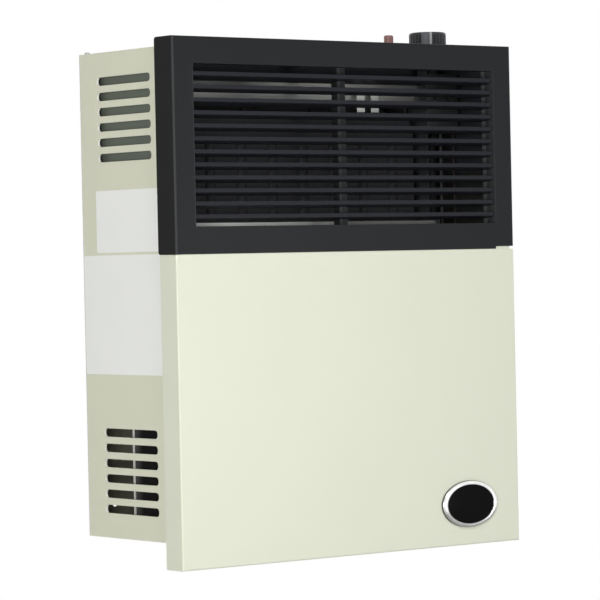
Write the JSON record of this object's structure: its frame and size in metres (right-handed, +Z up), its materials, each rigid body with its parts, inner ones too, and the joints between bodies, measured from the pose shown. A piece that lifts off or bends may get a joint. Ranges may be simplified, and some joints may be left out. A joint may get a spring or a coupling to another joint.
{
  "type": "wall mounted gas heater",
  "caption": "Wall hung, balanced flue gas heater: louvred black outlet over an ivory panel, slotted casing, thermostat knob and red igniter button on top.",
  "frame": {"origin": "on the axis of the flue's exhaust collar, in the plane of the wall that the back panel lies on", "axes": "+X to the right seen from the front, +Y into the wall along the flue, +Z up"},
  "size_m": [0.514, 0.206, 0.6315],
  "materials": {
    "casing_paint": "powder coated, beige ivory",
    "panel_paint": "semi-gloss powder coat, ivory",
    "grille_paint": "satin black powder coat",
    "chamber_paint": "matte black heat resistant paint",
    "aluminised_steel": "bright aluminised sheet",
    "zinc_steel": "zinc plated",
    "brass": "machined brass",
    "copper": "drawn copper",
    "tube_aluminium": "drawn aluminium tube",
    "valve_alloy": "die-cast alloy",
    "burner_steel": "heat tinted steel",
    "knob_plastic": "moulded black",
    "igniter_plastic": "moulded black",
    "button_plastic": "translucent red moulding",
    "badge_chrome": "bright plated rim",
    "badge_enamel": "blank gloss black",
    "gasket_fibre": "woven glass fibre",
    "sight_glass": "clear heat resistant glass",
    "electrode_ceramic": "white fired ceramic",
    "lead_silicone": "silicone sleeve"
  },
  "bodies": {
    "heater": {"back_panel": "zinc_steel", "side_panel_left": "casing_paint", "side_panel_right": "casing_paint", "top_panel": "casing_paint", "bottom_panel": "casing_paint", "front_panel": "panel_paint", "grille_frame": "grille_paint", "louvre_01": "grille_paint", "louvre_02": "grille_paint", "louvre_03": "grille_paint", "louvre_04": "grille_paint", "louvre_05": "grille_paint", "louvre_06": "grille_paint", "louvre_07": "grille_paint", "louvre_08": "grille_paint", "louvre_09": "grille_paint", "louvre_10": "grille_paint", "louvre_11": "grille_paint", "louvre_12": "grille_paint", "louvre_comb": "grille_paint", "cover_brackets": "zinc_steel", "cover_screws": "zinc_steel", "badge_bezel": "badge_chrome", "badge_insert": "badge_enamel", "side_liners": "aluminised_steel", "valve_partition": "aluminised_steel", "air_deflector": "aluminised_steel", "heat_shield": "aluminised_steel", "chamber_brackets": "aluminised_steel", "chamber_rear_shell": "chamber_paint", "chamber_gasket": "gasket_fibre", "chamber_front_shell": "chamber_paint", "chamber_bolts": "zinc_steel", "air_duct": "aluminised_steel", "exhaust_collar": "aluminised_steel", "intake_collar": "aluminised_steel", "burner_door": "chamber_paint", "door_screws": "zinc_steel", "sight_glass": "sight_glass", "sight_glass_ring": "zinc_steel", "main_burner": "burner_steel", "burner_injector": "brass", "pilot_burner": "zinc_steel", "thermocouple": "copper", "spark_electrode": "electrode_ceramic", "ignition_lead": "lead_silicone", "gas_valve": "valve_alloy", "valve_bracket": "zinc_steel", "thermostat_bulb": "copper", "pilot_tube": "tube_aluminium", "burner_tube": "tube_aluminium", "inlet_tube": "tube_aluminium", "inlet_fitting": "brass", "piezo_igniter": "igniter_plastic", "piezo_nut": "igniter_plastic", "casing_screws": "zinc_steel"},
    "thermostat": {"valve_rotor": "brass"},
    "knob": {"valve_stem": "zinc_steel", "control_knob": "knob_plastic"},
    "igniter": {"igniter_button": "button_plastic"}
  },
  "joints": [
    {"name": "thermostat_turn", "type": "hinge", "parent": "heater", "child": "thermostat", "pos_m": [0.201, -0.112, 0.2], "axis": [0, 0, 1], "range_deg": [0, 290]},
    {"name": "knob_push", "type": "slide", "parent": "thermostat", "child": "knob", "axis": [0, 0, -1], "range_m": [0, 0.0055], "stiffness_N_per_m": 700, "springref_m": -0.004},
    {"name": "igniter_push", "type": "slide", "parent": "heater", "child": "igniter", "axis": [0, 0, -1], "range_m": [0, 0.008], "stiffness_N_per_m": 800, "springref_m": -0.004}
  ]
}
